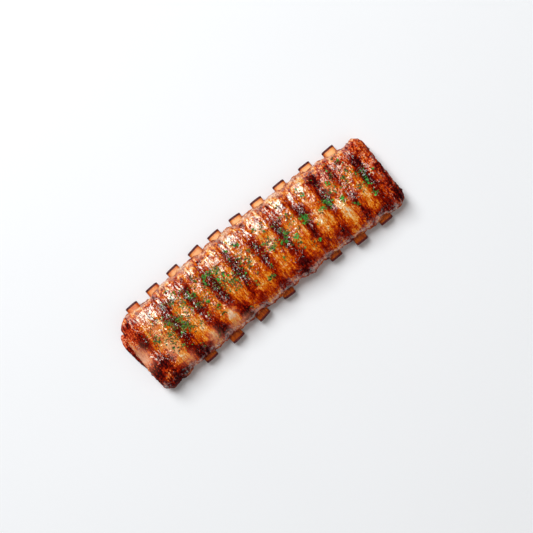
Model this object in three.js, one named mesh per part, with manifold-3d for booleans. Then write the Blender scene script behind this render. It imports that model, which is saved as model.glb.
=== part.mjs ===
// A cooked rack of ribs lying meat side up: one slab of meat with ten rib bones running through it.
// Millimetres. X runs along the rack, Y across it from the near edge to the far edge, and Z up.
// The origin is the middle of the rack's box, on the surface that it lies on.
import * as THREE from "three";
import { mergeVertices } from "three/addons/utils/BufferGeometryUtils.js";
import Module from "manifold-3d";

const slab = {
  middle: 3.75, // along X
  halfLength: 154.5,
  farEdge: 45, // Y of the far edge, half way along
  farBow: 8.3, // how far the far edge falls back towards the ends
  nearEdge: -41.8,
  nearBow: 3.8, // how far the near edge swings out towards the ends
  crown: 31, // top of the meat half way along
  endDrop: 3.5, // how much lower the crown is at the ends
  waist: 10, // height of the widest line
  domeRoundness: 2.7, // superellipse exponents: 2 is an ellipse, and more is squarer
  footRoundness: 5,
  endRoundness: 16,
};

const underside = {
  press: 2.2, // how deep the two long feet are pressed flat
  footInside: 0.78, // share of the half width where the feet end and the vault begins
  vault: 4, // the underside is hollow across the rack, as the bones are curved
  hollow: 1.8, // it sinks further between the bones
  ridgeWidth: 8,
};

const relief = {
  grooveWidth: 6,
  fullAt: 0.8, // share of the height from the waist at which grooves and lumps reach their full size
  edgeNotch: 1.2, // the meat draws back where a bone comes out
  edgeNotchWidth: 7,
};

// The left end is cut at a slant, which grows between these two places across the rack.
const leftEnd = { slant: 5, from: 2, to: 38, reach: 28 };

const bone = {
  width: 13.2,
  widthSpread: 0.5, // some bones are a little wider than others
  thickness: 8.5,
  roundness: 3.4,
  endHeight: 7.6, // middle of each end above the dish
  rise: 10, // how far the control point of the curved bone stands above its ends
  flare: 0.08, // share by which a bone is wider at its ends than in the middle
  standOut: 4.3, // how far a bone shows past the far edge
  clearance: 0.3, // between bone and meat
  tunnelOverrun: 9, // how far a tunnel is cut past the open end of its bone
};

// Where each bone crosses the far and the near edge, and how far it shows past the near edge.
// A bone with a negative near stand-out ends inside the meat.
const ribs = [
  { far: -126, near: -122.5, nearOut: -4 },
  { far: -99, near: -94.5, nearOut: 4.4 },
  { far: -71.5, near: -61.5, nearOut: 6.2 },
  { far: -43, near: -27, nearOut: 5.2 },
  { far: -17.5, near: -10.5, nearOut: -4 },
  { far: 10, near: 5.5, nearOut: 4.7 },
  { far: 37, near: 36, nearOut: -4 },
  { far: 65, near: 66, nearOut: 3.4 },
  { far: 96.5, near: 96, nearOut: 5.8 },
  { far: 125, near: 128, nearOut: 4 },
];

// Grooves across the upper side, which run near the bones but not along them:
// where each crosses the far and the near edge, and how deep it is.
const grooves = [
  { far: -137, near: -131, depth: 1.2 },
  { far: -98.5, near: -98.5, depth: 2.6 },
  { far: -73, near: -66.5, depth: 3 },
  { far: -47, near: -37.5, depth: 3 },
  { far: -20, near: -20, depth: 3 },
  { far: 8.5, near: 9, depth: 3 },
  { far: 37, near: 36, depth: 2.8 },
  { far: 64.5, near: 62.5, depth: 3 },
  { far: 92.5, near: 87, depth: 2.6 },
  { far: 114, near: 114, depth: 1.4 },
  { far: 139.5, near: 138, depth: 2.4 },
];

// Swellings (positive) and hollows (negative) of the upper side: centre, reach and height.
const lumps = [
  { x: 149, y: 31, reach: 9, height: 3.8 }, // knob at the far right corner
  { x: 152, y: 3, reach: 10, height: 2 }, // thick right end
  { x: 150, y: -35, reach: 9, height: 2.2 },
  { x: -136, y: -30, reach: 12, height: 2.8 }, // burnt near left corner
  { x: -146, y: -5, reach: 12, height: -3 }, // sloping left end
  { x: -136, y: 25, reach: 11, height: 1.5 },
  { x: 36, y: -35, reach: 10, height: 2.2 },
  { x: 112, y: 27, reach: 13, height: 1.8 },
  { x: 112, y: -10, reach: 11, height: 1.3 },
  { x: -85, y: -31, reach: 9, height: 1.3 },
  { x: 80, y: -32, reach: 10, height: -1.3 },
  { x: -55, y: 34, reach: 10, height: 1.2 },
];

// Places where the two long edges bulge (positive) or fall back (negative).
const edgeSwells = [
  { side: 1, x: -136, reach: 5, out: 1.2 },
  { side: 1, x: -111, reach: 8, out: -2 },
  { side: 1, x: -36, reach: 6, out: -0.9 },
  { side: 1, x: 76, reach: 8, out: 0.9 },
  { side: 1, x: 136, reach: 7, out: -2.2 },
  { side: 1, x: 152, reach: 6, out: 1 },
  { side: -1, x: -142, reach: 6, out: 1.2 },
  { side: -1, x: -123, reach: 5, out: 1.3 },
  { side: -1, x: -112, reach: 6, out: -1.4 },
  { side: -1, x: 24, reach: 4.5, out: -1.6 },
  { side: -1, x: 38, reach: 7, out: 1 },
  { side: -1, x: 52, reach: 5, out: -1.7 },
  { side: -1, x: 79, reach: 7, out: -2.2 },
  { side: -1, x: 143, reach: 7, out: 0.8 },
];

// A scrap of the lower layer that hangs out of the left end.
const flap = { x: -149.8, y: 12, z: 4.4, halfX: 8.3, halfY: 14, halfZ: 2.8, turn: -0.2 };

// Facets: round the slab, along it, and the same for a bone and for the scrap.
const facets = { slabRound: 32, slabAlong: 76, boneRound: 14, boneAlong: 5, flapRound: 12, flapRows: 7 };

// The share of the slab's rings that lie in its straight part, and the share of its length they cover.
const rings = { straight: 0.9, reach: 0.955 };

const wasm = await Module();
wasm.setup();

const bell = (distance, reach) => Math.exp(-((distance / reach) ** 2));
const signedPower = (value, power) => Math.sign(value) * Math.abs(value) ** power;
const superellipse = (share, roundness) => (1 - Math.abs(share) ** roundness) ** (1 / roundness);
const fromMiddle = (x) => (x - slab.middle) / slab.halfLength;

function edgeLine(side, x) {
  return side > 0
    ? slab.farEdge - slab.farBow * fromMiddle(x) ** 2
    : slab.nearEdge - slab.nearBow * fromMiddle(x) ** 2;
}

// Distance along X from a line that crosses the rack, given by its two ends.
function offLine(line, x, y) {
  const across = (slab.farEdge - y) / (slab.farEdge - slab.nearEdge);
  return Math.abs(x - THREE.MathUtils.lerp(line.far, line.near, across));
}

const offBone = (x, y) => Math.min(...ribs.map((rib) => offLine(rib, x, y)));

function grooveAt(x, y) {
  return Math.max(...grooves.map((groove) => groove.depth * bell(offLine(groove, x, y), relief.grooveWidth)));
}

// The long edge with its swells, and drawn back where a bone comes out.
function edgeAt(side, x) {
  const swell = edgeSwells
    .filter((place) => place.side === side)
    .reduce((sum, place) => sum + place.out * bell(x - place.x, place.reach), 0);
  const showing = side > 0 ? ribs : ribs.filter((rib) => rib.nearOut > 0);
  const toBone = Math.min(...showing.map((rib) => Math.abs(x - (side > 0 ? rib.far : rib.near))));
  return edgeLine(side, x) + side * (swell - relief.edgeNotch * bell(toBone, relief.edgeNotchWidth));
}

function lumpsAt(x, y) {
  const rise = (lump) => lump.height * bell(Math.hypot(x - lump.x, y - lump.y), lump.reach);
  return lumps.reduce((sum, lump) => sum + rise(lump), 0);
}

// Where a ring lies along the slab and how much it has grown, from its station between -1 and 1:
// even steps over the straight part, and then rings that close each end.
function ringAt(station) {
  const size = Math.abs(station);
  if (size <= rings.straight) {
    const along = (size / rings.straight) * rings.reach;
    return { along: Math.sign(station) * along, grow: superellipse(along, slab.endRoundness) };
  }
  const closing = (size - rings.straight) / (1 - rings.straight);
  const grow = superellipse(rings.reach, slab.endRoundness) * Math.cos((closing * Math.PI) / 2);
  return { along: Math.sign(station) * superellipse(grow, slab.endRoundness), grow };
}

function topHeight(x, y, reach) {
  const crown = slab.crown - slab.endDrop * fromMiddle(x) ** 4;
  const carving = (lumpsAt(x, y) - grooveAt(x, y)) * THREE.MathUtils.smoothstep(reach, 0, relief.fullAt);
  return slab.waist + (crown - slab.waist) * reach + carving;
}

// The wall curves in to a foot that is pressed flat, and inside the two feet the underside is vaulted.
function undersideHeight(x, y, across, reach) {
  const wall = Math.max(0, slab.waist - (slab.waist + underside.press) * reach);
  const inside = Math.max(0, 1 - (across / underside.footInside) ** 2);
  const hollow = underside.hollow * (1 - bell(offBone(x, y), underside.ridgeWidth));
  return wall + (underside.vault + hollow) * inside * reach;
}

function slantLeftEnd(x, y) {
  const start = slab.halfLength - leftEnd.reach;
  const intoEnd = THREE.MathUtils.smoothstep(slab.middle - x, start, slab.halfLength);
  return x + leftEnd.slant * intoEnd * THREE.MathUtils.smoothstep(y, leftEnd.from, leftEnd.to);
}

// A point of the slab's skin, from its station along the rack and its angle round it.
// Reach is 0 at the waist and at the tips of the two ends, and 1 on the crown and on the feet.
function slabPoint(station, angle) {
  const { along, grow } = ringAt(station);
  const x = slab.middle + along * slab.halfLength;
  const far = edgeAt(1, x);
  const near = edgeAt(-1, x);
  const up = Math.sin(angle);
  const roundness = up > 0 ? slab.domeRoundness : slab.footRoundness;
  const across = signedPower(Math.cos(angle), 2 / roundness);
  const reach = grow * Math.abs(up) ** (2 / roundness);
  const y = (far + near) / 2 + ((far - near) / 2) * grow * across;
  const z = up > 0 ? topHeight(x, y, reach) : undersideHeight(x, y, across, reach);
  return new THREE.Vector3(slantLeftEnd(x, y), y, z);
}

// Moves every vertex of a closed geometry and leaves only its positions, so that its seams close.
function reshape(geometry, move) {
  const place = geometry.getAttribute("position");
  const at = new THREE.Vector3();
  for (let i = 0; i < place.count; i++) {
    at.fromBufferAttribute(place, i);
    const moved = move(at);
    place.setXYZ(i, moved.x, moved.y, moved.z);
  }
  geometry.deleteAttribute("normal");
  geometry.deleteAttribute("uv");
  return mergeVertices(geometry, 1e-3);
}

function solidFrom(geometry) {
  const vertProperties = new Float32Array(geometry.getAttribute("position").array);
  const triVerts = new Uint32Array(geometry.index.array);
  return new wasm.Manifold(new wasm.Mesh({ numProp: 3, vertProperties, triVerts }));
}

function geometryFrom(solid) {
  const { vertProperties, triVerts } = solid.getMesh();
  const geometry = new THREE.BufferGeometry();
  geometry.setAttribute("position", new THREE.BufferAttribute(new Float32Array(vertProperties), 3));
  geometry.setIndex(new THREE.BufferAttribute(new Uint32Array(triVerts), 1));
  return geometry;
}

function slabGeometry() {
  const ball = new THREE.SphereGeometry(1, facets.slabRound, facets.slabAlong);
  ball.rotateZ(-Math.PI / 2); // its poles become the two ends of the rack
  return reshape(ball, (at) => {
    const station = Math.asin(THREE.MathUtils.clamp(at.x, -1, 1)) / (Math.PI / 2);
    return slabPoint(station, Math.atan2(at.z, at.y));
  });
}

function flapGeometry() {
  const ball = new THREE.SphereGeometry(1, facets.flapRound, facets.flapRows);
  const turned = new THREE.Euler(0, 0, flap.turn);
  const centre = new THREE.Vector3(flap.x, flap.y, flap.z);
  const size = new THREE.Vector3(flap.halfX, flap.halfY, flap.halfZ);
  return reshape(ball, (at) => at.clone().multiply(size).applyEuler(turned).add(centre));
}

// The bone's middle line, a shallow arc from its far end to its near end.
function boneCurve(rib) {
  const farEnd = new THREE.Vector3(rib.far, edgeLine(1, rib.far) + bone.standOut, bone.endHeight);
  const nearEnd = new THREE.Vector3(rib.near, edgeLine(-1, rib.near) - rib.nearOut, bone.endHeight);
  const bend = farEnd.clone().lerp(nearEnd, 0.5);
  bend.z += bone.rise;
  return new THREE.QuadraticBezierCurve3(farEnd, bend, nearEnd);
}

// A bar of rounded section along a bone's middle line, made larger all round by grow,
// and longer at its far and near ends by the two overruns.
function barAlong(rib, halfWidth, grow, farOverrun, nearOverrun) {
  const curve = boneCurve(rib);
  const rod = new THREE.CylinderGeometry(1, 1, 1, facets.boneRound, facets.boneAlong);
  rod.rotateX(-Math.PI / 2);
  const upright = new THREE.Vector3(0, 0, 1);
  return reshape(rod, (at) => {
    const t = THREE.MathUtils.clamp(at.z + 0.5, 0, 1);
    const forward = curve.getTangent(t);
    const side = new THREE.Vector3().crossVectors(forward, upright).normalize();
    const over = new THREE.Vector3().crossVectors(side, forward);
    const radius = Math.hypot(at.x, at.y);
    const angle = Math.atan2(at.y, at.x);
    const wide = halfWidth * (1 + bone.flare * (2 * t - 1) ** 2) + grow;
    const thick = bone.thickness / 2 + grow;
    const overrun = t === 0 ? -farOverrun : t === 1 ? nearOverrun : 0;
    return curve
      .getPoint(t)
      .addScaledVector(side, -radius * wide * signedPower(Math.cos(angle), 2 / bone.roundness))
      .addScaledVector(over, radius * thick * signedPower(Math.sin(angle), 2 / bone.roundness))
      .addScaledVector(forward, overrun);
  });
}

const halfWidthOf = (index) => (bone.width + bone.widthSpread * Math.sin(7 * index)) / 2;

function boneGeometry(rib, index) {
  return barAlong(rib, halfWidthOf(index), 0, 0, 0);
}

function tunnelGeometry(rib, index) {
  const nearOverrun = rib.nearOut > 0 ? bone.tunnelOverrun : bone.clearance;
  return barAlong(rib, halfWidthOf(index), bone.clearance, bone.tunnelOverrun, nearOverrun);
}

function meatSolid() {
  const body = solidFrom(slabGeometry()).add(solidFrom(flapGeometry()));
  return ribs.reduce((meat, rib, index) => meat.subtract(solidFrom(tunnelGeometry(rib, index))), body);
}

const meatMaterial = new THREE.MeshStandardMaterial({ color: 0xa8511f, roughness: 0.35, metalness: 0 });
const boneMaterial = new THREE.MeshStandardMaterial({ color: 0xd98c4a, roughness: 0.5, metalness: 0 });

const rack = new THREE.Group();

const meat = new THREE.Mesh(geometryFrom(meatSolid()), meatMaterial);
meat.name = "meat";
rack.add(meat);

ribs.forEach((rib, index) => {
  const piece = new THREE.Mesh(boneGeometry(rib, index), boneMaterial);
  piece.name = `bone_${String(index + 1).padStart(2, "0")}`;
  rack.add(piece);
});

// The sizes above already centre the rack to within a millimetre, and this makes it exact.
const box = new THREE.Box3().setFromObject(rack);
const middle = box.getCenter(new THREE.Vector3());
rack.position.set(-middle.x, -middle.y, -box.min.z);

export default rack;
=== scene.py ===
import itertools
import math

import bpy
import numpy as np
from mathutils import Matrix, Vector
from mathutils.bvhtree import BVHTree


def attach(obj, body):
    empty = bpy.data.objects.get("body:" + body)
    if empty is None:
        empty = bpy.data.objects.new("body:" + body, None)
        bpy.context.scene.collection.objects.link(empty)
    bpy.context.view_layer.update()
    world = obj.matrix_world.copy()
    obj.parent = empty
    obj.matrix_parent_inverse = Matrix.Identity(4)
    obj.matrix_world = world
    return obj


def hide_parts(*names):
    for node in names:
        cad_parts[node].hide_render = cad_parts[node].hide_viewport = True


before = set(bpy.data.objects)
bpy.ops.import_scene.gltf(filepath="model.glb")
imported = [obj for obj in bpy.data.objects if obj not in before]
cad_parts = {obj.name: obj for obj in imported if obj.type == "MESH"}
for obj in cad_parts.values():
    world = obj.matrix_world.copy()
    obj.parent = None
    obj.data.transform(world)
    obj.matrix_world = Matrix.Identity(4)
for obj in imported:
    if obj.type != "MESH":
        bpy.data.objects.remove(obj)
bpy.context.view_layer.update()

mm = 0.001  # sizes and places below are in millimetres, in the frame's own axes
chance = np.random.default_rng(38)


# colour from a web code such as "c8702a", in the linear values that shaders use
def tone(code):
    parts = [int(code[i:i + 2], 16) / 255 for i in (0, 2, 4)]
    return (*[p / 12.92 if p <= 0.04045 else ((p + 0.055) / 1.055) ** 2.4 for p in parts], 1)


class Value:
    def __init__(self, recipe, socket):
        self.recipe, self.socket = recipe, socket

    def math(self, operation, *others):
        return self.recipe.math(operation, self, *others)

    def __add__(self, other):
        return self.math("ADD", other)

    def __mul__(self, other):
        return self.math("MULTIPLY", other)

    def __sub__(self, other):
        return self.math("SUBTRACT", other)

    def __rsub__(self, other):
        return self.recipe.math("SUBTRACT", other, self)

    __radd__ = __add__
    __rmul__ = __mul__

    def clamp(self):
        return self.math("MINIMUM", 1).math("MAXIMUM", 0)

    # narrow creases where noise crosses its middle: 1 on the crease, 0 away from it
    def crease(self, width):
        return 1 - ((self - 0.5).math("ABSOLUTE") * (1 / width)).clamp()

    # 0 below low, 1 above high, and smooth between them
    def step(self, low, high):
        sockets = {"Value": self, "From Min": low, "From Max": high}
        return self.recipe.add("ShaderNodeMapRange", {"interpolation_type": "SMOOTHSTEP"}, sockets)


class Recipe:
    def __init__(self, owner, shader="Principled BSDF", place="Object"):
        owner.use_nodes = True
        self.owner = owner
        self.tree = owner.node_tree
        self.shader = self.tree.nodes[shader]
        self.place = self.add("ShaderNodeTexCoord", out=place)

    # the one way a node is made: its type, its settings, then its sockets' values or links
    def add(self, kind, settings=None, sockets=None, out=0):
        node = self.tree.nodes.new(kind)
        for name, value in (settings or {}).items():
            if name == "stops":
                self.setStops(node.color_ramp.elements, value)
            else:
                setattr(node, name, value)
        for key, value in (sockets or {}).items():
            self.feed(node.inputs[key], value)
        return Value(self, node.outputs[out])

    def setStops(self, marks, stops):
        while len(marks) < len(stops):
            marks.new(1)
        for mark, (position, code) in zip(marks, stops):
            mark.position, mark.color = position, tone(code)

    def feed(self, socket, value):
        if isinstance(value, Value):
            self.tree.links.new(value.socket, socket)
        else:
            socket.default_value = value

    def math(self, operation, *values):
        return self.add("ShaderNodeMath", {"operation": operation}, dict(enumerate(values)))

    def mix(self, share, first, second):
        return self.add("ShaderNodeMix", {"data_type": "RGBA"}, {0: share, 6: first, 7: second}, out=2)

    # two tones; the value chooses between them, softly round its middle
    def twoTone(self, value, soft, tones):
        return self.mix(value.step(0.5 - soft, 0.5 + soft), tone(tones[0]), tone(tones[1]))

    def shades(self, share, stops):
        return self.add("ShaderNodeValToRGB", {"stops": stops}, {"Fac": share})

    def mask(self, name):
        return self.add("ShaderNodeAttribute", {"attribute_name": name}, out="Fac")

    # where the shader is, in units of size, which is one number or x, y and z in millimetres
    def grid(self, size):
        scale = [1 / mm / s for s in np.broadcast_to(size, 3)]
        return self.add("ShaderNodeVectorMath", {"operation": "MULTIPLY"}, {0: self.place, 1: scale})

    def noise(self, size, detail=2.0, rough=0.5, twist=0.0):
        sockets = {"Vector": self.grid(size), "Scale": 1.0, "Detail": detail, "Roughness": rough}
        return self.add("ShaderNodeTexNoise", None, {**sockets, "Distortion": twist})

    def cells(self, size):
        sockets = {"Vector": self.grid(size), "Scale": 1.0}
        return self.add("ShaderNodeTexVoronoi", None, sockets, out="Distance")

    def bump(self, height, depth, under=None):
        sockets = {"Height": height, "Distance": depth * mm, "Strength": 1.0}
        if under:
            sockets["Normal"] = under
        return self.add("ShaderNodeBump", None, sockets)

    # lays a second, duller surface over the first, by share
    def cover(self, share, sockets):
        second = self.add("ShaderNodeBsdfPrincipled", None, sockets)
        first = Value(self, self.shader.outputs[0])
        both = self.add("ShaderNodeMixShader", None, {0: share, 1: first, 2: second})
        self.feed(self.tree.nodes["Material Output"].inputs["Surface"], both)

    # the shader's own sockets: links where the surface varies, plain numbers where it doesn't
    def finish(self, sockets):
        for name, value in sockets.items():
            self.feed(self.shader.inputs[name], value)
        return self.owner


# adds named noises to a value, each about its middle and by its own weight
def vary(value, noises, weights):
    for name, weight in weights.items():
        value = value + (noises[name] - 0.5) * weight
    return value


def addMarks(mesh, marks):
    for name, values in marks.items():
        layer = mesh.attributes.new(name, "FLOAT", "POINT")
        layer.data.foreach_set("value", np.asarray(values, np.float32))


def addMesh(name, points, faces, material, marks=None, smooth=True):
    mesh = bpy.data.meshes.new(name)
    mesh.from_pydata((np.asarray(points) * mm).tolist(), [], faces)
    addMarks(mesh, marks or {})
    mesh.polygons.foreach_set("use_smooth", [smooth] * len(mesh.polygons))
    mesh.materials.append(material)
    mesh.update()
    piece = bpy.data.objects.new(name, mesh)
    bpy.context.scene.collection.objects.link(piece)
    return piece


def readPoints(mesh, what="co"):
    flat = np.zeros(3 * len(mesh.vertices), np.float32)
    mesh.vertices.foreach_get(what, flat)
    return flat.reshape(-1, 3).astype(float)


# repeatable numbers from -1 to 1, one for each whole-number cell; the large factors scramble them
def cellNumbers(cell, seed):
    mixed = cell[:, 0] * 73856093 ^ cell[:, 1] * 19349663 ^ cell[:, 2] * 83492791 ^ seed * 2654435761
    mixed = (mixed ^ (mixed >> 13)) * 1274126177
    return ((mixed ^ (mixed >> 16)) & 65535) / 32767.5 - 1


# smooth noise at points, about -1 to 1; size is how large its lumps are, one number or x, y and z
def lumpy(points, size, seed, octaves=1):
    total = np.zeros(len(points))
    for octave in range(octaves):
        spot = points / np.broadcast_to(size, 3) * 2 ** octave
        cell = np.floor(spot).astype(np.int64)
        part = spot - cell
        ease = part * part * part * (part * (part * 6 - 15) + 10)
        for corner in itertools.product((0, 1), repeat=3):
            share = np.prod(np.where(corner, ease, 1 - ease), axis=1)
            slopes = [cellNumbers(cell + corner, 3 * (seed + 7 * octave) + axis) for axis in range(3)]
            total += share * sum(slope * step for slope, step in zip(slopes, (part - corner).T)) / 2 ** octave
    return total * 1.6  # back to about the full range


def bell(distance, reach):
    return np.exp(-((distance / reach) ** 2))


def ramp(value, low, high):
    share = np.clip((value - low) / (high - low), 0, 1)
    return share * share * (3 - 2 * share)


# the strongest of several oval spots, each x, y, its two reaches and its strength
def spots(listing, x, y):
    ovals = [s * bell(np.hypot((x - cx) / rx, (y - cy) / ry), 1) for cx, cy, rx, ry, s in listing]
    return np.clip(np.max(ovals, axis=0), 0, 1)


# the meat; y grows from its near edge to its far one, and z up from the table
slab = {
    # form
    "middle": 2.8, "halfLength": 153.6,
    "farEdge": 44.8, "farBow": 8.3, "nearEdge": -42, "nearBow": 3.8,
    "crown": 31, "endDrop": 3.5, "waist": 10,
    "farRound": 3.3, "nearRound": 2.7, "footRound": 5, "endRound": 16,
    "press": 2.2, "footInside": 0.78, "vault": 4,
    "slant": 3.2, "slantFrom": 2, "slantTo": 38, "slantReach": 28,
    "edgeNotch": 1.2, "notchWidth": 7, "grooveWidth": 6.2,
    "boneShows": 42,  # a bone shows past this y
    "reliefFull": 0.8,  # share of the height where grooves and lumps reach their full depth
    # how finely it is drawn
    "rings": 548, "endRings": 36, "round": 152, "straightReach": 0.955, "lastRing": 0.015,
    "undersideShare": 0.4,  # how closely the underside is sampled, against the top
    "fineSteps": 6001,  # angles tried when the even ones are looked for
    # relief, in heights and sizes of lumps
    "wave": 0.7, "waveSize": 15, "fibre": 0.35, "fibreSize": (3.1, 10, 9), "crust": 0.35, "crustSize": 2.4,
    "torn": 1.5, "tornSize": (7, 7, 5), "tornFine": 2.8, "char": 1.1, "charSize": 6, "charFine": 2.6,
    "pits": 0.4, "pitSize": 3.2, "pitFrom": 0.35, "pitFull": 0.8,
    # relief where there is no crust, and what crust, ruddy glaze and the underside change in it
    "plainPits": 0.4, "plainCrust": 0.25, "fibreLoss": 0.5, "ruddyCrust": 0.7, "underCalm": 0.6,
    # browning, from 0, cream, through amber, orange and mahogany to 1, black
    "base": 0.295, "stripe": 0.39, "patchy": 0.1, "coarseShare": 0.6,
    "stripeWobble": 2.2, "stripeFuzz": 1.4, "softInside": 3.2, "softOutside": 2.4, "stripeVary": 0.25,
    "faintStripe": 0.5, "faintDepth": 2,  # grooves less deep than this have a faint stripe
    "rimUneven": 3, "rimOffStripe": 0.85, "middleTan": 0.03, "middleReach": 12,
    "farMottle": 0.3, "farPale": 0.13, "warp": 2.5, "deepFrom": 0.75, "deepShare": 0.5,
    # bands of it: their share, and where they start and reach it
    # the first band pales the dark stripes toward the far edge: painted highlight where glare lies on them
    "paintedGlare": (0.72, 14, 30), "farReturn": (0.4, 31, 37), "nearFade": (0.3, 6, 20),
    "nearRim": (0.08, 19, 33), "farTan": (0.08, 14, 27), "farPatches": (1, 29, 37),
    "farSteep": (0.2, 10, 35), "farLip": (1, 36, 43), "endCrust": (0.6, 8, 20), "endReach": (1, 140, 150),
    "crusty": (1, 0.5, 0.95), "underside": (1, 0.2, 0.7),
    "steepFrom": 0.05, "steepTo": 0.6, "steepUneven": 0.16, "lipUneven": 4,
    "lipBare": 0.65, "lipPatchy": 1.2, "lipOffStripe": 0.6, "rimMiddle": 39, "rimReach": 6, "rimGlazed": 0.85,
    # noises of the surface: size of their grain, detail, roughness and twist
    "noises": {
        "streaks": ((2.4, 18, 10), 3, 0.6, 0.2), "fibres": ((1.1, 6.5, 4), 4, 0.6, 0.25),
        "mottle": (5, 3, 0.6), "grain": (1.5, 3, 0.65), "crust": (0.9, 2, 0.7),
    },
    "creaseWidth": 0.07, "creaseDark": 0.2, "crumbSize": (1.9, 2.6, 2.2),
    "levelVary": {"fibres": 0.6, "grain": 0.5, "mottle": 0.4, "streaks": 0.8, "crust": 0.65},
    "tornVary": {"fibres": 0.6, "crust": 0.6, "grain": 0.5, "mottle": 0.9},
    # where the glaze is missing, so that the surface is dull
    "dullWhere": {"wall": 0.7, "burnt": 0.7, "under": 1, "ruddy": 0.5, "crusty": 0.3, "flesh": 0.8},
    "dullVary": {"crust": 1.1, "mottle": 2.2, "streaks": 2},
    "gloss": 0.07, "glossVary": {"mottle": 0.08}, "dullRough": 0.5, "dullRoughVary": {"crust": 0.5},
    # colours along the browning
    "glaze": [
        (0, "f4e0c0"), (0.12, "f4b658"), (0.25, "ee8c0c"), (0.37, "e05e00"), (0.48, "ba3000"),
        (0.6, "901400"), (0.78, "5e0804"), (1, "280204"),
    ],
    "ruddyGlaze": [
        (0, "f4bca0"), (0.2, "ea7c4a"), (0.36, "d44818"), (0.52, "ac2408"), (0.68, "780e04"),
        (0.84, "440404"), (1, "200406"),
    ],
    "bare": [(0.25, "fce0c4"), (0.42, "eeaa80"), (0.57, "b8603a"), (0.75, "702414")],
    "flesh": [(0.3, "e8b696"), (0.7, "c87a5a")],
    "membrane": ("8a4a2c", "c08a60"),
    "glint": "d8fff4",
}

# dark grooves: x at the far edge, half way and at the near edge, depth, and half width of the dark stripe
grooves = [
    (-137, -135, -131, 1.2, 3.5), (-98.5, -100.5, -98, 2.6, 6.2), (-72.5, -73, -65.5, 3, 6),
    (-46, -47, -36.5, 3, 5.8), (-20, -19, -20, 3, 5.2), (8.5, 8.5, 9.5, 3, 5.6), (38, 37, 36, 2.8, 5.4),
    (65, 64.5, 62.5, 3, 5.4), (92.5, 92, 87, 2.6, 5), (114, 114, 114, 1.4, 3.6), (140, 136.5, 139, 2.4, 5.4),
]

# swellings and hollows of the top: x, y, reach, height
lumps = [
    (149, 31, 9, 3.8), (152, 3, 10, 2), (150, -35, 9, 2.2), (-136, -30, 12, 2.8), (-146, -5, 12, -3),
    (-136, 25, 11, 1.5), (36, -35, 10, 2.2), (112, 27, 13, 1.8), (112, -10, 11, 1.3), (-85, -31, 9, 1.3),
    (80, -32, 10, -1.3), (-55, 34, 10, 1.2),
]

# where the two long edges bulge or fall back: side, x, reach, how far out
edgeSwells = [
    (1, -136, 5, 1.2), (1, -146, 11, 2), (1, -111, 8, -2), (1, -36, 6, -0.9), (1, 76, 8, 0.9),
    (1, 136, 7, -2.2), (1, 152, 6, 1.6), (-1, -142, 7, 3), (-1, -123, 5, 1.3), (-1, -112, 6, -1.4),
    (-1, 24, 4.5, -1.6), (-1, 38, 7, 1), (-1, 52, 5, -1.7), (-1, 79, 7, -2.2), (-1, 143, 7, 1.2),
]

# where it is browner or paler: x, y, two reaches and how much
browner = [
    (-142, 24, 8, 13, 0.02), (-139.5, 5, 5, 7, 0.3), (-141, -22, 9, 8, 0.38), (-147, -28, 5, 10, 0.35),
    (-128, -40, 13, 5, 0.4), (-138, -45, 14, 5, 0.35), (-126, -21, 8, 6, 0.35), (-136, -30, 5, 5, -0.2),
    (-123.5, 28, 5.5, 12, 0.08), (-121, 12, 4.5, 8, -0.1), (-117.5, -12, 7, 12, -0.22),
    (-113, -30, 6, 10, -0.18), (-116, 22, 2.5, 9, 0.12), (-94, -35, 11, 6, 0.35), (-100, -20, 5, 10, 0.15),
    (-84, -11, 3.5, 9, -0.2), (-88, 12, 5, 4, -0.1), (-78.5, -28, 4, 9, -0.32), (-68, -30, 5.5, 5, 0.42),
    (-51.5, -26, 4.5, 6.5, -0.34), (-35, -30, 5, 5, 0.42), (-5, -31, 7, 5, 0.15), (35, -31, 13, 8, 0.35),
    (57, 31, 3, 6, 0.15), (77, -8, 4, 14, -0.12), (92.5, 30, 5, 6, 0.42), (93, 8, 5, 8, 0.25),
    (90, -12, 8, 8, -0.16), (82, -28, 9, 6, 0.3), (98, 13, 4, 7, -0.22), (101, -13, 7, 9, -0.24),
    (102, -25, 7, 6, -0.14), (115, -11, 7, 11, 0.2), (114.5, -31, 5, 6, 0.35), (128, -14, 5, 12, -0.15),
    (139.5, 15, 4.5, 6, 0.4), (138, -5, 4, 14, 0.2), (153, -36, 5, 8, 0.45), (130, -37, 9, 4, 0.3),
    (110, 24, 9, 9, 0.1), (155, 0, 4, 26, 0.3), (150, -18, 6, 16, 0.2), (149, 27, 6, 11, -0.16),
    (146, -8, 3, 14, 0.05), (-143, 31, 8, 5, 0.12), (122, 8, 6, 6, 0.06),
]
# rough charred lumps: x, y, two reaches and how much
burntLumps = [
    (-138, -28, 15, 13, 1), (-134, -44, 14, 6, 1), (152, -34, 7, 12, 1), (152, 28, 8, 10, 0.6),
    (35, -33, 12, 6, 0.5), (-94, -36, 11, 5, 0.5), (140, 14, 5, 8, 0.9), (92.5, 30, 5, 7, 0.8),
    (-68, -30, 6, 5, 0.7), (-35, -30, 6, 5, 0.7), (-139.5, 5, 4, 6, 0.4), (82, -28, 9, 6, 0.4),
    (114, -32, 6, 6, 0.4), (155, 0, 4, 30, 0.5), (-143, 24, 9, 13, 0.6),
]
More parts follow.
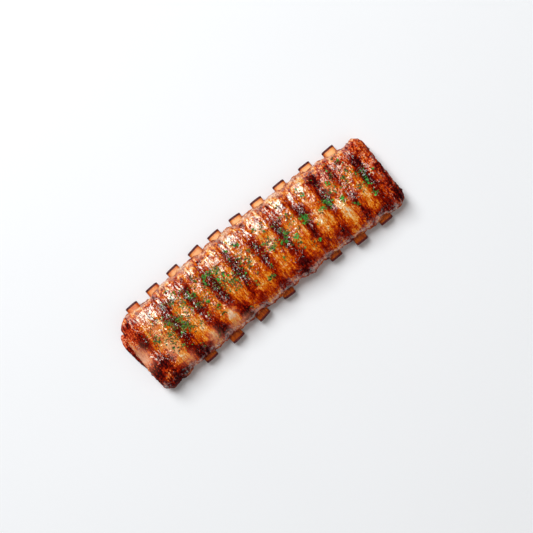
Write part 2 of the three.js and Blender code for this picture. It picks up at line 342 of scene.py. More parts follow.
# where the glaze is redder, and where raw-looking flesh shows: x, y, two reaches and how much
ruddier = [
    (-143, 22, 9, 15, 1), (-138, -28, 14, 14, 0.5), (151, 0, 6, 40, 0.75), (149, 30, 11, 10, 0.7),
    (110, 26, 14, 11, 0.9), (128, 24, 9, 9, 0.5), (112, -14, 8, 12, 0.35), (38, 26, 5, 10, 0.5),
    (-66, -14, 5, 9, 0.3),
]
fleshSpots = [
    (-147.5, -5, 6, 10, 1), (-112, -34, 6, 6, 0.4), (-78, -33, 5, 7, 0.6), (-50, -36, 12, 3, 0.5),
    (-51.5, -26, 4, 6, 0.7), (-118, -14, 6, 10, 0.6), (-121, 6, 5, 9, 0.4), (98, 14, 3, 7, 0.3),
    (-124, 29, 5, 9, 0.45),
]


# middles of a rib bone's two ends, far then near, read from its solid
def boneEnds(name):
    points = readPoints(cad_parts[name].data) / mm
    endDepth = 3
    far = points[points[:, 1] > points[:, 1].max() - endDepth]
    near = points[points[:, 1] < points[:, 1].min() + endDepth]
    return [(end.min(0) + end.max(0)) / 2 for end in (far, near)]


boneNames = sorted(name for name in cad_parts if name.startswith("bone"))
bones = {name: boneEnds(name) for name in boneNames}


def superellipse(share, power):
    return (1 - np.abs(share) ** power) ** (1 / power)


# y of the far edge, side 1, or the near one, side -1
def edgeAt(side, x):
    fromMiddle = (x - slab["middle"]) / slab["halfLength"]
    line = slab["farEdge"] - slab["farBow"] * fromMiddle ** 2
    if side < 0:
        line = slab["nearEdge"] - slab["nearBow"] * fromMiddle ** 2
    swell = sum(out * bell(x - cx, reach) for s, cx, reach, out in edgeSwells if s == side)
    ends = [far if side > 0 else near for far, near in bones.values()]
    showing = [end[0] for end in ends if side * end[1] > slab["boneShows"]]
    toBone = np.min([np.abs(x - bx) for bx in showing], axis=0)
    return line + side * (swell - slab["edgeNotch"] * bell(toBone, slab["notchWidth"]))


# distance along x from a groove's line, which bends a little half way
def offGroove(groove, x, y):
    far, mid, near = groove[:3]
    across = (slab["farEdge"] - y) / (slab["farEdge"] - slab["nearEdge"])
    bend = 4 * across * (1 - across)
    return np.abs(x - (far + (near - far) * across + bend * (mid - (far + near) / 2)))


def grooveAt(x, y):
    return np.max([g[3] * bell(offGroove(g, x, y), slab["grooveWidth"]) for g in grooves], axis=0)


# a point of the slab's skin, from how far along it lies, how grown its ring is, and the angle round it
def skin(along, grow, angle):
    x = slab["middle"] + along * slab["halfLength"] + 0 * angle
    far, near = edgeAt(1, x), edgeAt(-1, x)
    up = np.sin(angle)
    dome = np.where(np.cos(angle) > 0, slab["farRound"], slab["nearRound"])
    power = np.where(up > 0, dome, slab["footRound"])
    across = np.sign(np.cos(angle)) * np.abs(np.cos(angle)) ** (2 / power)
    reach = grow * np.abs(up) ** (2 / power)
    y = (far + near) / 2 + (far - near) / 2 * grow * across
    crown = slab["crown"] - slab["endDrop"] * along ** 4
    lift = sum(height * bell(np.hypot(x - cx, y - cy), r) for cx, cy, r, height in lumps) - grooveAt(x, y)
    top = slab["waist"] + (crown - slab["waist"]) * reach + lift * ramp(reach, 0, slab["reliefFull"])
    wall = np.maximum(0, slab["waist"] - (slab["waist"] + slab["press"]) * reach)
    inside = np.maximum(0, 1 - (across / slab["footInside"]) ** 2)
    bottom = wall + slab["vault"] * inside * reach
    intoEnd = ramp(slab["middle"] - x, slab["halfLength"] - slab["slantReach"], slab["halfLength"])
    x = x + slab["slant"] * intoEnd * ramp(y, slab["slantFrom"], slab["slantTo"])
    return np.stack([x, y, np.where(up > 0, top, bottom)], axis=-1)


# angles round the slab at even steps over its skin
def evenAngles(count):
    fine = np.linspace(-math.pi, math.pi, slab["fineSteps"])
    section = skin(np.zeros_like(fine), np.ones_like(fine), fine)
    steps = np.linalg.norm(np.diff(section, axis=0), axis=1)
    steps = steps * np.where(np.sin(fine[1:]) > 0, 1, slab["undersideShare"])
    walked = np.concatenate([[0], np.cumsum(steps)])
    return np.interp(np.arange(count) / count * walked[-1], walked, fine)


# rings along the slab: even steps over the straight part, then rings that close each end
def ringStations():
    straight = np.linspace(-1, 1, slab["rings"]) * slab["straightReach"]
    full = superellipse(slab["straightReach"], slab["endRound"])
    closing = full * np.linspace(1, slab["lastRing"], slab["endRings"] + 1)[1:]
    end = superellipse(closing, slab["endRound"])
    along = np.concatenate([-end[::-1], straight, end])
    grow = np.concatenate([closing[::-1], superellipse(straight, slab["endRound"]), closing])
    return along, grow


# faces of a tube of rings, with a cap at each end
def tubeFaces(rings, around):
    faces = []
    for ring in range(rings - 1):
        for k in range(around):
            a, b = ring * around + k, ring * around + (k + 1) % around
            faces.append((a, b, b + around, a + around))
    last = (rings - 1) * around
    return faces + [tuple(range(around - 1, -1, -1)), tuple(range(last, last + around))]


def band(name, place):
    share, start, full = slab[name]
    return share * ramp(place, start, full)


# how much of a dark stripe lies on each point
def stripeMark(points, fuzz, coarse):
    x, y, _ = points.T
    x = x + slab["stripeWobble"] * lumpy(points, (7, 12, 20), 11, 2)
    stripes = []
    for groove in grooves:
        depth, wide = groove[3:]
        off = offGroove(groove, x, y) + slab["stripeFuzz"] * fuzz
        strength = slab["faintStripe"] if depth < slab["faintDepth"] else 1
        stripes.append(strength * (1 - ramp(off, wide - slab["softInside"], wide + slab["softOutside"])))
    # the stripes are painted paler toward the far edge, as painted highlight under the glare, come back near
    # the far edge, and fade a little toward the near edge
    across = (1 - band("paintedGlare", y) + band("farReturn", y)) * (1 - band("nearFade", -y))
    return np.max(stripes, axis=0) * across * (1 + slab["stripeVary"] * coarse)


# what each point of the meat is: browned, crusty, ruddy, flesh, wall or underside
def meatMarks(points, normals):
    x, y, z = points.T
    patchy, coarse = lumpy(points, 5, 12, 2), lumpy(points, 14, 13)
    fuzz = lumpy(points, (2.5, 5, 5), 14, 2)
    stripe = stripeMark(points, fuzz, coarse)
    browned = slab["base"] + slab["stripe"] * stripe
    browned += slab["patchy"] * (patchy + slab["coarseShare"] * coarse)
    rim = band("nearRim", -y + slab["rimUneven"] * (patchy + coarse))
    browned += rim * (1 - slab["rimOffStripe"] * stripe)
    browned += slab["middleTan"] * bell(y, slab["middleReach"]) + band("farTan", y)
    browned += (slab["farMottle"] * (patchy + fuzz) - slab["farPale"]) * band("farPatches", y)
    warped = x + slab["warp"] * lumpy(points, 6, 15, 2), y + slab["warp"] * lumpy(points, 6, 16, 2)
    for cx, cy, rx, ry, more in browner:
        browned += more * bell(np.hypot((warped[0] - cx) / rx, (warped[1] - cy) / ry), 1)
    past = browned - slab["deepFrom"]
    browned = np.where(past > 0, slab["deepFrom"] + slab["deepShare"] * past, browned)

    level = normals[:, 2] + slab["steepUneven"] * patchy
    steep = 1 - ramp(level, slab["steepFrom"], slab["steepTo"] - band("farSteep", y))
    crusted = band("endCrust", z + slab["lipUneven"] * patchy) * band("endReach", np.abs(x - slab["middle"]))
    lip = band("farLip", y + slab["lipUneven"] * patchy)
    lip = lip * np.clip(slab["lipBare"] + slab["lipPatchy"] * patchy, 0, 1)
    lip = lip * (1 - slab["lipOffStripe"] * stripe)
    burnt = spots(burntLumps, *warped)
    nearRim = np.maximum(slab["rimGlazed"] * bell(y + slab["rimMiddle"], slab["rimReach"]), burnt)
    return {
        "browned": browned, "crusty": band("crusty", browned), "burnt": burnt,
        "ruddy": spots(ruddier, *warped), "flesh": spots(fleshSpots, *warped),
        "wall": steep, "bare": np.maximum(steep * (1 - nearRim) * (1 - crusted), lip),
        "under": band("underside", -normals[:, 2]),
    }


# fine relief in millimetres, out along the normal
def meatRelief(points, marks):
    crusty = np.maximum(marks["crusty"], slab["ruddyCrust"] * marks["ruddy"])
    charred = lumpy(points, slab["charSize"], 7, 2) + 0.5 * lumpy(points, slab["charFine"], 8)
    torn = lumpy(points, slab["tornSize"], 4) + 0.5 * lumpy(points, slab["tornFine"], 5, 2)
    smooth = 1 - slab["fibreLoss"] * crusty
    fibres = smooth * lumpy(points, slab["fibreSize"], 2, 2) * (1 - marks["wall"])
    pits = ramp(lumpy(points, slab["pitSize"], 6), slab["pitFrom"], slab["pitFull"])
    pits = pits * (slab["plainPits"] + crusty)
    relief = slab["wave"] * lumpy(points, slab["waveSize"], 1, 2) + slab["fibre"] * fibres
    relief += slab["crust"] * (slab["plainCrust"] + crusty) * lumpy(points, slab["crustSize"], 3, 2)
    relief += slab["char"] * marks["burnt"] * charred + slab["torn"] * marks["wall"] * torn
    return (relief - slab["pits"] * pits) * (1 - slab["underCalm"] * marks["under"])


def meatMaterial():
    m = Recipe(bpy.data.materials.new("glazedMeat"))
    names = ("browned", "crusty", "ruddy", "flesh", "under", "burnt", "wall", "bare")
    marks = {name: m.mask(name) for name in names}
    browned, crusty, ruddy, flesh, under, burnt, wall, scraped = marks.values()
    noises = {name: m.noise(*values) for name, values in slab["noises"].items()}
    mottle, grain, crust = noises["mottle"], noises["grain"], noises["crust"]
    creases = m.noise((1.6, 4, 3), 2, 0.5, 0.6).crease(slab["creaseWidth"])
    crumbs = m.cells(slab["crumbSize"])
    rough = (burnt + ruddy * 0.9 + crusty * 0.4).clamp()

    level = vary(browned + creases * slab["creaseDark"], noises, slab["levelVary"])
    level = level + ((crumbs - 0.4) * 0.6 + (grain - 0.5) * 0.9) * rough
    redder = (ruddy + (mottle - 0.5) * 0.6).clamp()
    colour = m.mix(redder, m.shades(level, slab["glaze"]), m.shades(level, slab["ruddyGlaze"]))
    torn = vary(0.5 + crusty * 0.25 + wall * 0.08, noises, slab["tornVary"])
    bareShare = (scraped * 1.25 - crusty * 0.4 + (grain - 0.5) * 0.8).clamp() * 0.9
    colour = m.mix(bareShare, colour, m.shades(torn, slab["bare"]))
    colour = m.mix(flesh, colour, m.shades(noises["fibres"], slab["flesh"]))
    colour = m.mix(under, colour, m.twoTone(mottle, 0.15, slab["membrane"]))

    relief = m.bump(m.noise((2.4, 6, 4), 0, 0.4, 0.4) - creases * 0.12, 0.55)
    relief = m.bump(m.noise(2.2, 0, 0.4, 0.4) + crust * 0.35, 0.35, relief)
    relief = m.bump((crust - crumbs) * (rough + wall).clamp(), 0.5, relief)
    gloss = vary(slab["gloss"] + crusty * 0.03 + ruddy * 0.08 + flesh * 0.12, noises, slab["glossVary"])
    dull = 0
    for name, weight in slab["dullWhere"].items():
        dull = dull + marks[name] * weight
    dull = vary(dull, noises, slab["dullVary"]).step(0.1, 0.5)
    dullRough = vary(slab["dullRough"], noises, slab["dullRoughVary"]).clamp()
    shared = {"Base Color": colour, "Normal": relief}
    m.cover(dull, {**shared, "Roughness": dullRough, "Specular IOR Level": 0.02})
    return m.finish({
        **shared, "Roughness": gloss.clamp(), "IOR": 1.75, "Specular IOR Level": 1.0,
        "Specular Tint": tone(slab["glint"]),
    })


# a thin red scrap that lies against the left end; it is part of the meat
scrap = {
    "middle": (-151.2, 2, 4.4), "half": (5.5, 25, 2.6), "turn": 0.05, "flare": 0.3, "rows": 44, "round": 64,
    "poleGap": 0.04,  # angle left open at each tip, which the caps close
    # below its tip the scrap is browner: its own dark maroon and a painted shadow along the end
    "browned": 0.62, "unshadedBy": 0.36, "unshadedFrom": 12, "unshadedTo": 20,
}


def scrapPoints():
    down = np.linspace(scrap["poleGap"], math.pi - scrap["poleGap"], scrap["rows"])[:, None]
    turn = np.linspace(0, 2 * math.pi, scrap["round"], endpoint=False)[None, :]
    shape = [np.sin(down) * np.cos(turn), np.cos(down) + 0 * turn, np.sin(down) * np.sin(turn)]
    shape[0] = shape[0] * (1 + scrap["flare"] * shape[1])
    local = np.stack([s * h for s, h in zip(shape, scrap["half"])], axis=-1).reshape(-1, 3)
    c, s = math.cos(scrap["turn"]), math.sin(scrap["turn"])
    turned = local @ np.array([[c, s, 0], [-s, c, 0], [0, 0, 1]])
    return turned + scrap["middle"]


# what the scrap's points are, and 0 for every mark not named here
def scrapMarks(points):
    # darker below the tip, as the scrap's own maroon and painted shadow, and lighter on the tip
    unshaded = ramp(points[:, 1], scrap["unshadedFrom"], scrap["unshadedTo"])
    return {"browned": scrap["browned"] - scrap["unshadedBy"] * unshaded, "ruddy": 1, "crusty": 1}


def makeMeat():
    along, grow = ringStations()
    angles = evenAngles(slab["round"])
    points = skin(along[:, None], grow[:, None], angles[None, :]).reshape(-1, 3)
    faces = tubeFaces(len(along), len(angles))
    slabCount = len(points)
    faces += [tuple(slabCount + k for k in face) for face in tubeFaces(scrap["rows"], scrap["round"])]
    points = np.concatenate([points, scrapPoints()])
    piece = addMesh("glazed_slab", points, faces, meatMaterial())
    normals = readPoints(piece.data, "normal")
    inScrap, ofScrap = np.arange(len(points)) >= slabCount, scrapMarks(points)
    marks = meatMarks(points, normals)
    marks = {name: np.where(inScrap, ofScrap.get(name, 0), values) for name, values in marks.items()}
    points = points + normals * meatRelief(points, marks)[:, None]
    points[:, 2] = np.maximum(points[:, 2], 0)
    piece.data.vertices.foreach_set("co", (points * mm).astype(np.float32).ravel())
    addMarks(piece.data, marks)
    piece.data.update()
    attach(piece, "root")
    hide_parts("meat")
    print("meat", len(points), "points")
    return piece


boneLook = {
    "width": 13.2, "widthSpread": 0.5, "thickness": 8.5, "square": 3.4, "flare": 0.08, "rise": 10,
    "around": 56, "stations": 64, "faceRings": 12, "lastRing": 0.06, "farExtra": 0.7,
    "marrow": 0.62,  # share of the sawn face that is spongy
    "marrowDepth": 0.7, "marrowSlope": 0.08, "marrowBlur": 0.06, "sawnFrom": 0.985,
    "unevenness": 0.28, "lumpSize": (5, 14, 5),
    # millimetres from the end over which the scorch fades and the paler root begins
    "scorchFade": (1.3, 3), "rootStart": (2.2, 5.2),
    "shadedShare": (0.3, 0.6),  # shares of the length over which the painted shade of the near half turns to the lit colour of the far half
    "scorchRing": (0.7, 0.95), "scorchInside": 0.25,  # the sawn face is scorched most at its rim
    "seedApart": 40,  # so that no two bones are alike
    "toasted": {1: 0.45, 2: 0.25, 3: 0.12, 4: 0.1, 5: 0.05},  # browner bones, by number
    # the shaded tones are painted shade: darker copies of the lit ones, for the near ends under the meat
    "lit": ("cc5c02", "ea8e26"), "pale": "f4bd7c", "sides": "ba4604", "shaded": ("7c2600", "bc580e"),
    "rim": "c98f5c", "sponge": ("3c0f0a", "9a4a30"), "scorch": ("300c16", "6a2018"),
}


def boneMaterial():
    b = Recipe(bpy.data.materials.new("roastedBone"))
    names = ("farEnd", "tip", "root", "marrow", "toast", "side", "sawn")
    far, tip, root, marrow, toast, side, sawn = [b.mask(name) for name in names]
    streak, speck, holes = b.noise((1.3, 9, 1.3), 3, 0.6), b.noise(1.0, 3, 0.7), b.cells(0.9)
    uneven = speck - 0.5
    lit = b.twoTone(streak, 0.15, boneLook["lit"])
    lit = b.mix((root * 0.85 + uneven * 1.4 - toast * 1.2).clamp(), lit, tone(boneLook["pale"]))
    lit = b.mix((side * 1.3 + toast + uneven * 0.6).clamp(), lit, tone(boneLook["sides"]))
    # the near half takes the shaded tones, painted shade where the meat shades the bones
    colour = b.mix(far, b.twoTone(streak, 0.2, boneLook["shaded"]), lit)
    marrow = (marrow + uneven * 0.9).step(0.3, 0.7)
    sponge = b.mix(holes.step(0.15, 0.5), *[tone(code) for code in boneLook["sponge"]])
    face = b.mix(marrow, tone(boneLook["rim"]), sponge)
    colour = b.mix((sawn + uneven * 0.7).step(0.3, 0.7), colour, face)
    scorch = (tip + uneven * 0.4).step(0.3, 0.6)
    colour = b.mix(scorch, colour, b.twoTone(speck, 0.1, boneLook["scorch"]))
    relief = b.bump(holes * marrow, 0.5, b.bump(streak, 0.25))
    return b.finish({
        "Base Color": colour, "Roughness": (0.38 + scorch * 0.25 + marrow * 0.2).clamp(),
        "Normal": relief, "Specular IOR Level": 0.25,
    })


# the bone's rounded-square section: how far to the side and how far up, round the ring
def boneSection():
    angle = np.linspace(0, 2 * math.pi, boneLook["around"], endpoint=False)
    sides = [np.sign(v) * np.abs(v) ** (2 / boneLook["square"]) for v in (np.cos(angle), np.sin(angle))]
    return sides[0], sides[1] * boneLook["thickness"] / 2


# a rib bone along its arc, with a sawn and scorched face at each end
def makeBone(name, index, material):
    far, near = bones[name]
    far = far + [0, boneLook["farExtra"], 0]
    bend = (far + near) / 2 + np.array([0, 0, boneLook["rise"]])
    ease = 0.5 - 0.5 * np.cos(math.pi * np.linspace(0, 1, boneLook["stations"]))  # closer rings at the ends
    line = np.outer((1 - ease) ** 2, far) + np.outer(2 * ease * (1 - ease), bend) + np.outer(ease ** 2, near)
    forward = np.gradient(line, axis=0)
    forward /= np.linalg.norm(forward, axis=1)[:, None]
    side = np.cross(forward, [0, 0, 1])
    side /= np.linalg.norm(side, axis=1)[:, None]
    over = np.cross(side, forward)
    width = (boneLook["width"] + boneLook["widthSpread"] * math.sin(7 * index)) / 2
    width = width * (1 + boneLook["flare"] * (2 * ease - 1) ** 2)
    flat, tall = boneSection()

    # face rings first, then the shaft, then the other face: size of each ring and where it stands
    marrow, slope, blur = boneLook["marrow"], boneLook["marrowSlope"], boneLook["marrowBlur"]
    shrink = np.linspace(1, boneLook["lastRing"], boneLook["faceRings"])
    sink = boneLook["marrowDepth"] * ramp(1 - shrink, 1 - marrow - slope, 1 - marrow + slope)
    last = boneLook["stations"] - 1
    order = [(0, size, depth, 1) for size, depth in zip(shrink[::-1], sink[::-1])]
    order += [(i, 1, 0, 0) for i in range(1, last)]
    order += [(last, size, -depth, 1) for size, depth in zip(shrink, sink)]
    points, marks, length = [], {}, np.linalg.norm(far - near)
    inside = boneLook["scorchInside"]
    for i, size, depth, face in order:
        ring = size * (np.outer(flat * width[i], side[i]) + np.outer(tall, over[i]))
        points.append(line[i] + ring + depth * forward[i])
        fromEnd = min(ease[i], 1 - ease[i]) * length
        rim = ramp(size, *boneLook["scorchRing"])
        ringMarks = {
            "farEnd": 1 - ramp(ease[i], *boneLook["shadedShare"]),
            "tip": (1 - ramp(fromEnd, *boneLook["scorchFade"])) * (inside + (1 - inside) * rim),
            "root": ramp(fromEnd, *boneLook["rootStart"]),
            "marrow": face * (1 - ramp(size, marrow - blur, marrow + blur)),
            "side": np.abs(flat) ** 4,
            "sawn": face * (size < boneLook["sawnFrom"]),
            "toast": boneLook["toasted"].get(index + 1, 0),
        }
        for mark, value in ringMarks.items():
            marks.setdefault(mark, []).append(np.broadcast_to(value, len(flat)))
    points = np.concatenate(points)
    out = points - np.repeat(line[[i for i, *_ in order]], len(flat), axis=0)
    out /= np.maximum(np.linalg.norm(out, axis=1), 0.1)[:, None]
    seeded = points + [0, 0, boneLook["seedApart"] * index]
    points = points + out * (boneLook["unevenness"] * lumpy(seeded, boneLook["lumpSize"], 21, 2))[:, None]
    marks = {mark: np.concatenate(values) for mark, values in marks.items()}
    piece = addMesh(f"rib_{name[-2:]}", points, tubeFaces(len(order), len(flat)), material, marks)
    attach(piece, "root")
    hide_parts(name)
    return piece


meat = makeMeat()
bonePaint = boneMaterial()
ribs = [makeBone(name, index, bonePaint) for index, name in enumerate(boneNames)]
print("bones", len(ribs))


parsley = {
    "sides": 7, "size": (1.1, 2.8), "thick": 0.3, "cup": 0.4, "lean": 0.75,
    "crowd": 2.5, "spread": 0.82,
    "brightShade": 0.9, "brightScale": 1.1, "darkShade": 0.34, "darkScale": 0.85,
    # the last tone is painted sheen: a pale olive highlight painted on small bits
    "dark": ("0a1404", "3a4206"), "fresh": ("087a1c", "54e04c"), "wet": "b0a048",
}
flecks = {
    "sides": 5, "size": (0.7, 2.5), "thick": 0.3, "cup": 0.15, "lean": 0.3, "count": 2350, "shade": 0.25,
}
pepper = {
    "sides": 5, "size": (0.35, 0.9), "thick": 0.25, "cup": 0.1, "lean": 0.3, "count": 700, "shade": 0.3,
    "husk": ("140c08", "3a2414"), "kernel": "8a5a30",
}
# what the fine bits share: how they gather in clumps, and where none lie
sprinkle = {
    "clumps": 150, "clumpReach": 2.0, "reachSpread": (0.3, 2.2), "greener": (-0.25, 0.3),
    "zoneShare": 0.6, "onStripe": 0.3, "halfLength": 148, "halfWidth": 36,
}

# parsley: x, y, how many bits, and how far they scatter
brightSprigs = [
    (-99, -7.5, 7, 2.2), (-94.5, -4, 8, 2.2), (-72, 15, 5, 2), (-68.5, 11.5, 7, 2), (-62, -1, 4, 1.5),
    (-56, -9, 5, 1.5), (-53, 15.5, 6, 1.8), (-50.5, 20.8, 9, 2.4), (-45, 21, 8, 2.2), (-39.5, 18, 6, 2),
    (-39.5, 10, 6, 1.8), (-32.5, 12, 6, 2), (-18, 27.5, 4, 1.3), (-6.5, 26.5, 6, 2), (-6.5, 5.5, 5, 2),
    (-0.5, -20.5, 6, 1.5), (5, -21, 4, 1.3), (17, 27, 5, 1.6), (21.5, 0.5, 7, 2.2), (32, 0, 10, 2.4),
    (36, -2, 5, 1.6), (39.5, 4, 6, 1.8), (42.5, 3.5, 5, 1.5), (46.5, -4, 6, 2), (63.5, 4, 22, 3.6),
    (62.5, -21, 5, 1.3), (76.5, 23.5, 6, 1.6), (80, 0.5, 8, 2), (85, 0.5, 6, 1.6), (89, 5.5, 6, 1.6),
    (92, 0.5, 9, 2.4), (105.5, -3, 9, 2), (114, -17, 4, 1.3), (136, -2.5, 8, 2), (133, -6, 6, 2),
    (136.5, -20, 5, 1.5), (133.5, -18, 3, 1.5), (103, 17, 4, 1.6), (-83, 27, 4, 1.6), (24, -13, 3, 1.2),
]
darkSprigs = [
    (-117, 16, 9, 2.4), (-124.5, 11.5, 6, 2), (-128, 0.5, 9, 3), (-90, 33, 4, 1.3), (-99, 23, 6, 2.2),
    (-82, 15, 9, 2.6), (-95, 4, 14, 3.2), (-103.5, 1.5, 9, 3), (-107, -10, 5, 1.8), (-89.5, -11, 9, 2.6),
    (-57, -19, 5, 1.8), (-79.5, -14, 6, 2.4), (-60.5, 27.5, 6, 1.6), (-59, 23.5, 7, 1.7), (-36, 22, 4, 1.4),
    (-34.5, 4.5, 6, 1.8), (-30, -0.5, 7, 2.2), (-24.5, 3.5, 9, 2.8), (-4, 25, 5, 1.6), (1, 15, 4, 2),
    (24.5, 23.5, 4, 1.4), (32.5, 18.5, 3, 1.2), (44, 20, 4, 1.6), (49.5, 30, 6, 2.2), (46, -11, 6, 2),
    (74.5, 31, 5, 1.6), (109, 20, 7, 2.4), (125.5, 17, 5, 2), (138, 6.5, 10, 3), (125, -3.5, 5, 1.8),
    (-31.5, -31, 3, 1.2), (8.5, -13, 3, 1.2), (-20, 18, 5, 2.4), (143.5, 39, 5, 1.3), (-108, 8, 8, 3.4),
    (-112, -3, 7, 3.2), (-70, 3, 8, 3.6), (-46, 8, 9, 4), (-40, -4, 6, 3), (52, 14, 7, 3.4), (38, 10, 6, 3.4),
    (118, 8, 6, 3.4), (-86, 2, 8, 3.2), (-16, -4, 5, 3), (14, 8, 5, 3), (-76, 22, 6, 3), (128, 9, 6, 3),
]
# where the finer bits lie: x, y, two reaches, and share of them all
fleckZones = [
    (-98, -2, 26, 20, 0.26), (-60, 8, 26, 18, 0.22), (-25, 8, 26, 18, 0.16), (10, 12, 30, 18, 0.1),
    (50, 4, 26, 20, 0.1), (110, 12, 26, 20, 0.14),
]


# how uneven a chip is, and how it lies: ranges that each one is drawn from
chipLook = {
    "turn": (-0.25, 0.25), "reach": (0.55, 1.1), "stretch": (0.7, 1.3), "lift": (-0.5, 1),
    "inner": (0.5, 0.5, 0.3), "belly": 0.4, "leanLift": 0.15,
    "tint": (-1.2, 0.5), "wet": (-1.6, 1), "sheenBelow": 2, "fullSize": 1.5,
}


# rough little closed chips: a squashed double cone with an uneven rim
def chip(points, size, thick, cup):
    turn = np.linspace(0, 2 * math.pi, points, endpoint=False) + chance.uniform(*chipLook["turn"], points)
    reach = size / 2 * chance.uniform(*chipLook["reach"], points)
    stretch = chance.uniform(*chipLook["stretch"])
    lift = cup * size * chance.uniform(*chipLook["lift"], points)
    rim = np.stack([reach * np.cos(turn) * stretch, reach * np.sin(turn), lift], axis=1)
    inner, low = rim * chipLook["inner"], -chipLook["belly"] * thick
    shape = np.concatenate([rim, inner + [0, 0, thick], inner + [0, 0, low], [[0, 0, thick], [0, 0, low]]])
    faces = []
    for k in range(points):
        n = (k + 1) % points
        faces += [(k, n, points + n, points + k), (n, k, 2 * points + k, 2 * points + n)]
        faces += [(points + k, points + n, 3 * points), (2 * points + n, 2 * points + k, 3 * points + 1)]
    return shape, faces


# the meat's surface under a place: the point and the normal there, in millimetres
def landOn(x, y, tree):
    above = Vector((x, y, 100)) * mm
    spot, normal, *_ = tree.ray_cast(above, Vector((0, 0, -1)))
    return (np.array(spot) / mm, normal) if spot else (None, None)


# lays chips on the meat, each turned to the surface, and joins them in one piece
def scatter(name, places, look, material):
    tree = BVHTree.FromObject(meat, bpy.context.evaluated_depsgraph_get())
    thick = look["thick"]
    allPoints, allFaces, tint, wet, start = [], [], [], [], 0
    for x, y, shade, scale in places:
        size = scale * chance.uniform(*look["size"]) * chance.uniform(0.75, 1)
        height = thick * min(1, size / chipLook["fullSize"])
        shape, faces = chip(look["sides"], size, height, look["cup"])
        spin, lean = chance.uniform(0, 2 * math.pi), chance.normal(0, look["lean"], 2)
        spot, normal = landOn(x, y, tree)
        if spot is None:
            continue
        turned = normal.to_track_quat("Z", "Y").to_matrix()
        turned = turned @ Matrix.Rotation(lean[0], 3, "X") @ Matrix.Rotation(lean[1], 3, "Y")
        turned = np.array(turned @ Matrix.Rotation(spin, 3, "Z"))
        leaning = chipLook["leanLift"] * size * float(np.abs(lean).max())
        lift = np.array(normal) * (thick * 0.5 + leaning)
        allPoints.append(shape @ turned.T + spot + lift)
        allFaces += [tuple(start + k for k in face) for face in faces]
        tint.append(np.full(len(shape), np.clip(shade + chance.uniform(*chipLook["tint"]), 0, 1)))
        # some small bits get painted sheen, a pale olive highlight in their colour
        sheenShare = max(0, chance.uniform(*chipLook["wet"])) * (size < chipLook["sheenBelow"])
        wet.append(np.full(len(shape), sheenShare))
        start += len(shape)
    marks = {"tint": np.concatenate(tint), "wet": np.concatenate(wet)}
    piece = addMesh(name, np.concatenate(allPoints), allFaces, material, marks, smooth=False)
    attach(piece, "root")
    print(name, len(tint), "bits")


def leafMaterial():
    h = Recipe(bpy.data.materials.new("choppedParsley"))
    tint, wet, vein = h.mask("tint"), h.mask("wet"), h.noise(0.6, 2, 0.6)
    leaf = h.mix(tint, h.twoTone(vein, 0.15, parsley["dark"]), h.twoTone(vein, 0.15, parsley["fresh"]))
    # bits with painted sheen are mixed toward a pale olive highlight
    return h.finish({
        "Base Color": h.mix(wet, leaf, tone(parsley["wet"])), "Roughness": 0.45 + (vein - 0.5) * 0.2,
        "Normal": h.bump(vein, 0.12),
    })


def pepperMaterial():
    p = Recipe(bpy.data.materials.new("groundPepper"))
    tint, grit = p.mask("tint"), p.noise(0.35, 2, 0.6)
    husk = p.twoTone(grit, 0.1, pepper["husk"])
    return p.finish({
        "Base Color": p.mix(tint * 0.4, husk, tone(pepper["kernel"])), "Roughness": 0.6 + (grit - 0.5) * 0.2,
        "Normal": p.bump(grit, 0.1),
    })


def sprigPlaces(sprigs, shade, scale):
    places = []
    for x, y, count, reach in sprigs:
        spread = reach * parsley["spread"]
        for _ in range(round(count * parsley["crowd"])):
            places.append((x + chance.normal(0, spread), y + chance.normal(0, spread), shade, scale))
    return places


# fine bits gather in loose clumps inside the zones, some greener than others, and few lie on the stripes
def zonePlaces(count, shade):
    shares = np.array([zone[4] for zone in fleckZones])
    clumps, places, inZone = [], [], sprinkle["zoneShare"]
    for k in chance.choice(len(fleckZones), sprinkle["clumps"], p=shares / shares.sum()):
        cx, cy, rx, ry, _ = fleckZones[k]
        x, y = chance.normal(cx, rx * inZone), chance.normal(cy, ry * inZone)
        clumps.append((x, y, chance.uniform(*sprinkle["greener"])))
    for k in chance.integers(0, len(clumps), count):
        cx, cy, greener = clumps[k]
        reach = sprinkle["clumpReach"] * chance.uniform(*sprinkle["reachSpread"])
        x, y = chance.normal(cx, reach), chance.normal(cy, reach)
        onStripe = min(offGroove(groove, x, y) / groove[4] for groove in grooves) < 1
        inside = abs(x) < sprinkle["halfLength"] and abs(y) < sprinkle["halfWidth"]
        if inside and (chance.random() < sprinkle["onStripe"] or not onStripe):
            places.append((x, y, shade + greener, 1))
    return places


leafPaint, pepperPaint = leafMaterial(), pepperMaterial()
sprigs = sprigPlaces(brightSprigs, parsley["brightShade"], parsley["brightScale"])
sprigs += sprigPlaces(darkSprigs, parsley["darkShade"], parsley["darkScale"])
scatter("parsley", sprigs, parsley, leafPaint)
scatter("parsley_flecks", zonePlaces(flecks["count"], flecks["shade"]), flecks, leafPaint)
scatter("pepper", zonePlaces(pepper["count"], pepper["shade"]), pepper, pepperPaint)


# the floor's side and the lamps' distance and sizes are in metres, their places in degrees
stageLook = {
    "floor": 8.0, "floorCells": 8, "floorTones": ("f0f3f6", "eef1f4"), "cloudSize": 180,
    "room": 0.12, "far": 4.0,
    "key": {"energy": 178, "colour": "ffffff", "size": (1.55, 2.95), "around": 97, "up": 54, "gleams": True},
    "fill": {"energy": 32, "colour": "fff4ec", "size": (4.2, 4.2), "around": -60, "up": 55, "gleams": False},
}


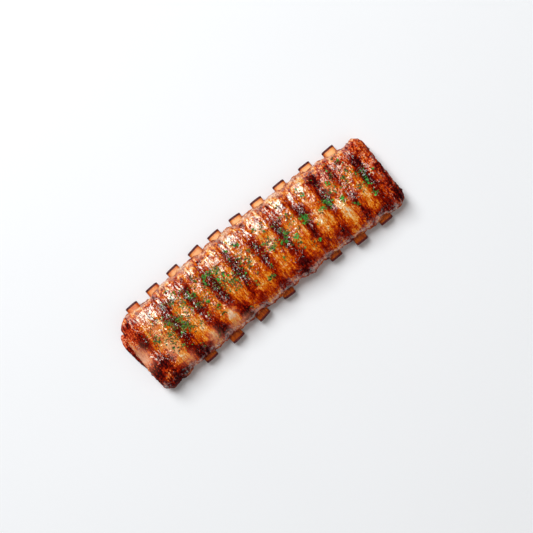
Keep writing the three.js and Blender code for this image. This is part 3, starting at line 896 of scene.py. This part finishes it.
def makeFloor():
    f = Recipe(bpy.data.materials.new("paleTable"))
    tones = [tone(code) for code in stageLook["floorTones"]]
    cloudy = f.noise(stageLook["cloudSize"], 2, 0.5)
    paint = f.finish({"Base Color": f.mix(cloudy, *tones), "Roughness": 0.6})
    half, cells = stageLook["floor"] / mm / 2, stageLook["floorCells"]
    steps, row = np.linspace(-half, half, cells + 1), cells + 1
    points = [(x, y, 0) for y in steps for x in steps]
    corners = [r * row + c for r in range(cells) for c in range(cells)]
    faces = [(k, k + 1, k + row + 1, k + row) for k in corners]
    addMesh("table", points, faces, paint)


# a soft lamp shining on the rack from one side; only a lamp that gleams shows in the glaze
def addLamp(name, energy, colour, size, around, up, gleams):
    light = bpy.data.lights.new(name, "AREA")
    light.shape, light.energy = "RECTANGLE", energy
    light.size, light.size_y = size
    light.color = tone(colour)[:3]
    lamp = bpy.data.objects.new(name, light)
    around, up = math.radians(around), math.radians(up)
    towards = Vector((math.cos(around) * math.cos(up), math.sin(around) * math.cos(up), math.sin(up)))
    lamp.location = stageLook["far"] * towards
    lamp.rotation_euler = (-lamp.location).to_track_quat("-Z", "Y").to_euler()
    lamp.visible_camera, lamp.visible_glossy = False, gleams
    bpy.context.scene.collection.objects.link(lamp)


# a large softbox beyond the rack's far edge, a plain fill from above, and a pale room round it
def makeLights():
    world = bpy.data.worlds.new("studio")
    Recipe(world, "Background").finish({"Color": (1, 1, 1, 1), "Strength": stageLook["room"]})
    world.cycles_visibility.glossy = False
    bpy.context.scene.world = world
    addLamp("softbox", **stageLook["key"])
    addLamp("fill", **stageLook["fill"])


# straight down; the rack's length is turned up to the right
cameraLook = {"lens": 85, "sensor": 36, "turn": 38.4, "across": 533, "target": (4.7, -9.4), "plane": 12}


def makeCamera():
    data = bpy.data.cameras.new("camera")
    data.lens, data.sensor_width = cameraLook["lens"], cameraLook["sensor"]
    camera = bpy.data.objects.new("camera", data)
    away = cameraLook["across"] * cameraLook["lens"] / cameraLook["sensor"]
    x, y = cameraLook["target"]
    camera.location = Vector((x, y, cameraLook["plane"] + away)) * mm
    camera.rotation_euler = (0, 0, -math.radians(cameraLook["turn"]))
    bpy.context.scene.collection.objects.link(camera)
    bpy.context.scene.camera = camera


makeFloor()
makeLights()
makeCamera()
bpy.context.scene.view_settings.view_transform = "Standard"
print("stage set")
